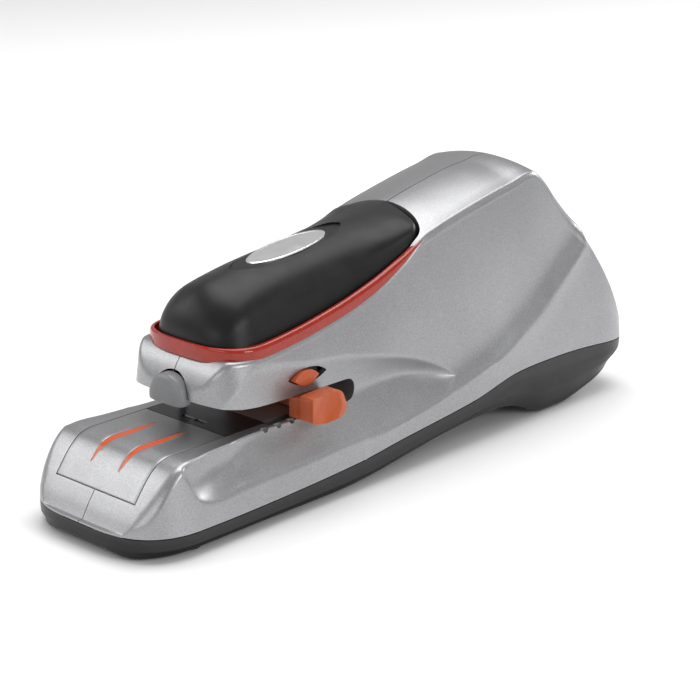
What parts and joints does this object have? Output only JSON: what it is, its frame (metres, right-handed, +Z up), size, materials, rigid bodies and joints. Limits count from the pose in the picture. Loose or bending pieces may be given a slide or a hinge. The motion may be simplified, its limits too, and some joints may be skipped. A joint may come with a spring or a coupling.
{
  "type": "electric stapler",
  "caption": "Desktop electric stapler with a lit ring under its top pad, a depth stop, a mode switch and a pull-out staple drawer.",
  "frame": {"origin": "centre of the bounding box at table height, on the underside of the rubber feet", "axes": "+Z up, -Y towards the nose and the paper, +X towards the side with the depth knob"},
  "size_m": [0.068, 0.2578, 0.098],
  "materials": {
    "silver_plastic": "satin metallic",
    "black_plastic": "fine texture",
    "orange_plastic": "gloss",
    "ring_lens": "clear tinted",
    "grey_plastic": "matte",
    "dark_plastic": "matte",
    "white_plastic": "matte",
    "board_green": "matte",
    "bright_steel": "brushed",
    "dark_steel": "blackened",
    "badge_metal": "satin",
    "brass": "turned",
    "rubber": "matte"
  },
  "bodies": {
    "housing": {"base_pan": "black_plastic", "left_shell": "silver_plastic", "right_shell": "silver_plastic", "anvil_cover": "silver_plastic", "cover_stripes": "orange_plastic", "anvil_plate": "dark_steel", "light_ring": "ring_lens", "rubber_feet": "rubber", "power_inlet": "dark_plastic", "circuit_board": "board_green", "control_chip": "dark_plastic", "storage_capacitor": "dark_plastic", "led_strip": "board_green", "ring_leds": "white_plastic", "frame_plate_left": "bright_steel", "frame_plate_right": "bright_steel", "frame_spacers": "dark_steel", "lever_pin": "dark_steel", "gear_axles": "dark_steel", "motor_can": "bright_steel", "driver_rods": "bright_steel", "magazine_rail": "bright_steel", "mode_switch": "dark_plastic", "pad_springs": "bright_steel", "pad_switch": "dark_plastic", "sensor_switch": "dark_plastic", "case_screws": "bright_steel", "frame_screws": "bright_steel", "board_screws": "bright_steel"},
    "rotor": {"motor_shaft": "dark_steel", "motor_pinion": "brass"},
    "first_wheel": {"first_gear": "white_plastic"},
    "second_wheel": {"second_gear": "white_plastic"},
    "cam_wheel": {"cam_gear": "white_plastic", "cam_disc": "bright_steel", "cam_shaft": "dark_steel"},
    "lever": {"drive_lever": "dark_steel", "follower_roller": "bright_steel"},
    "driver": {"driver_carriage": "dark_steel", "driver_blade": "bright_steel"},
    "drawer": {"magazine_drawer": "bright_steel", "staple_strip": "bright_steel", "pusher_spring": "bright_steel", "pusher_rod": "dark_steel", "button_spring": "bright_steel"},
    "pusher": {"staple_pusher": "orange_plastic"},
    "button": {"release_button": "grey_plastic"},
    "mode_key": {"mode_slider": "orange_plastic"},
    "depth_stop": {"depth_slide": "orange_plastic"},
    "pad": {"top_pad": "black_plastic", "pad_badge": "badge_metal"},
    "sensor": {"sensor_lever": "dark_plastic"}
  },
  "joints": [
    {"name": "cam_turn", "type": "hinge", "parent": "housing", "child": "cam_wheel", "pos_m": [0, 0.03949, 0.03992], "axis": [1, 0, 0], "range_deg": [0, 200]},
    {"name": "second_turn", "type": "hinge", "parent": "housing", "child": "second_wheel", "pos_m": [0, 0.06298, 0.04534], "axis": [1, 0, 0], "range_deg": [-600, 0]},
    {"name": "first_turn", "type": "hinge", "parent": "housing", "child": "first_wheel", "pos_m": [0, 0.08178, 0.04099], "axis": [1, 0, 0], "range_deg": [0, 1800]},
    {"name": "rotor_turn", "type": "hinge", "parent": "housing", "child": "rotor", "pos_m": [0, 0.095, 0.0367], "axis": [1, 0, 0], "range_deg": [-6480, 0]},
    {"name": "lever_swing", "type": "hinge", "parent": "housing", "child": "lever", "pos_m": [0, 0.01022, 0.058], "axis": [1, 0, 0], "range_deg": [0, 9.12]},
    {"name": "driver_drop", "type": "slide", "parent": "housing", "child": "driver", "axis": [0, 0, -1], "range_m": [0, 0.014]},
    {"name": "drawer_pull", "type": "slide", "parent": "housing", "child": "drawer", "axis": [0, 1, 0], "range_m": [-0.06, 0]},
    {"name": "pusher_slide", "type": "slide", "parent": "drawer", "child": "pusher", "axis": [0, 1, 0], "range_m": [0, 0.02], "stiffness_N_per_m": 20, "springref_m": -0.02, "deforming": ["pusher_spring"]},
    {"name": "button_press", "type": "slide", "parent": "drawer", "child": "button", "axis": [0, 1, 0], "range_m": [0, 0.0024], "stiffness_N_per_m": 400, "springref_m": -0.002, "deforming": ["button_spring"]},
    {"name": "mode_slide", "type": "slide", "parent": "housing", "child": "mode_key", "axis": [0, 1, 0], "range_m": [0, 0.0036]},
    {"name": "depth_set", "type": "slide", "parent": "housing", "child": "depth_stop", "axis": [0, -1, 0], "range_m": [0, 0.0166]},
    {"name": "pad_press", "type": "slide", "parent": "housing", "child": "pad", "axis": [0, 0, -1], "range_m": [0, 0.0016], "stiffness_N_per_m": 1500, "springref_m": -0.0008, "deforming": ["pad_springs"]},
    {"name": "sensor_swing", "type": "hinge", "parent": "housing", "child": "sensor", "pos_m": [0, -0.0701, 0.045], "axis": [1, 0, 0], "range_deg": [0, 20], "stiffness_Nm_per_rad": 0.002, "springref_deg": -20.05}
  ],
  "couplings": [
    {"joint": "second_turn", "follows": "cam_turn", "ratio": -3},
    {"joint": "first_turn", "follows": "cam_turn", "ratio": 9},
    {"joint": "rotor_turn", "follows": "cam_turn", "ratio": -32.4},
    {"joint": "lever_swing", "follows": "cam_turn", "ratio": 0.045624},
    {"joint": "driver_drop", "follows": "cam_turn", "m_per_rad": 0.0040107}
  ]
}
